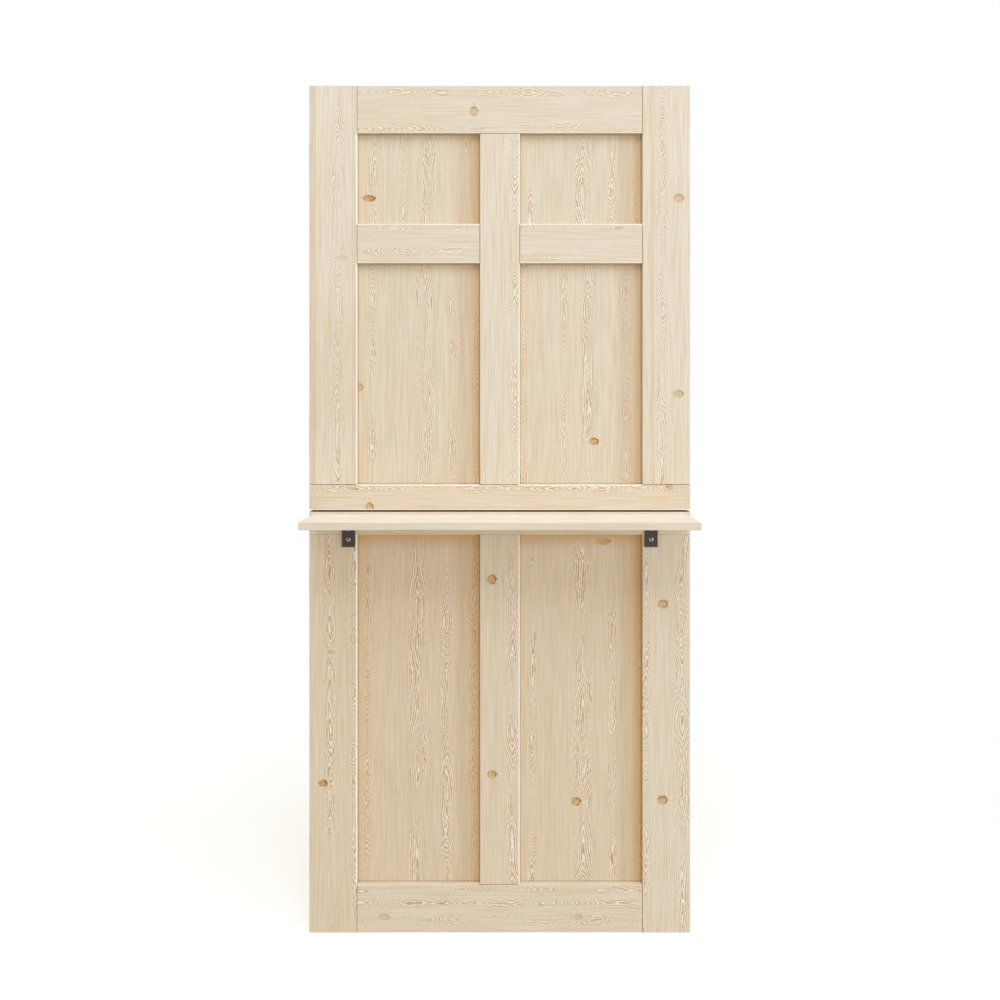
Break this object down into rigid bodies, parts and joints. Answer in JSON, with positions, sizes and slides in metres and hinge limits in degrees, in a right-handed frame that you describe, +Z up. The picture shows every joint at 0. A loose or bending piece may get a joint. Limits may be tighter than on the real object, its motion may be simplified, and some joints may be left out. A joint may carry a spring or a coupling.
{
  "type": "six-panel stable door",
  "caption": "Stable door in pale pine, split into an upper and a lower leaf of flat recessed panels, with a serving shelf on steel brackets and butt hinges that let each leaf swing alone.",
  "frame": {"origin": "middle of the lower leaf's bottom edge, half way through its thickness", "axes": "+X to the right seen from the front, front face towards -Y, +Z up"},
  "size_m": [0.9209, 0.1865, 2.032],
  "materials": {
    "pine_frame": "bare planed pine",
    "pine_panel": "bare sanded pine",
    "pine_shelf": "bare planed pine",
    "beech_dowel": "turned",
    "black_steel": "satin powder coat",
    "zinc_steel": "zinc plated",
    "satin_steel": "satin"
  },
  "bodies": {
    "jamb_side": {"upper_top_hinge_jamb_plate": "satin_steel", "upper_top_hinge_pin": "satin_steel", "upper_bottom_hinge_jamb_plate": "satin_steel", "upper_bottom_hinge_pin": "satin_steel", "lower_top_hinge_jamb_plate": "satin_steel", "lower_top_hinge_pin": "satin_steel", "lower_bottom_hinge_jamb_plate": "satin_steel", "lower_bottom_hinge_pin": "satin_steel"},
    "upper_leaf": {"upper_left_stile": "pine_frame", "upper_right_stile": "pine_frame", "upper_top_rail": "pine_frame", "upper_mullion": "pine_frame", "upper_left_cross_rail": "pine_frame", "upper_right_cross_rail": "pine_frame", "upper_meeting_rail": "pine_frame", "upper_top_left_panel": "pine_panel", "upper_top_right_panel": "pine_panel", "upper_main_left_panel": "pine_panel", "upper_main_right_panel": "pine_panel", "upper_dowels": "beech_dowel", "upper_top_hinge_door_plate": "satin_steel", "upper_bottom_hinge_door_plate": "satin_steel", "upper_hinge_screws": "satin_steel"},
    "lower_leaf": {"lower_left_stile": "pine_frame", "lower_right_stile": "pine_frame", "lower_cap_rail": "pine_frame", "lower_mullion": "pine_frame", "lower_bottom_rail": "pine_frame", "lower_left_panel": "pine_panel", "lower_right_panel": "pine_panel", "lower_dowels": "beech_dowel", "shelf_board": "pine_shelf", "left_bracket": "black_steel", "right_bracket": "black_steel", "bracket_door_screws": "zinc_steel", "bracket_shelf_screws": "zinc_steel", "lower_top_hinge_door_plate": "satin_steel", "lower_bottom_hinge_door_plate": "satin_steel", "lower_hinge_screws": "satin_steel"}
  },
  "joints": [
    {"name": "upper_leaf_swing", "type": "hinge", "parent": "jamb_side", "child": "upper_leaf", "pos_m": [-0.4582, 0.0235, 1.5], "axis": [0, 0, 1], "range_deg": [0, 120]},
    {"name": "lower_leaf_swing", "type": "hinge", "parent": "jamb_side", "child": "lower_leaf", "pos_m": [-0.4582, 0.0235, 0.5], "axis": [0, 0, 1], "range_deg": [0, 120]}
  ]
}
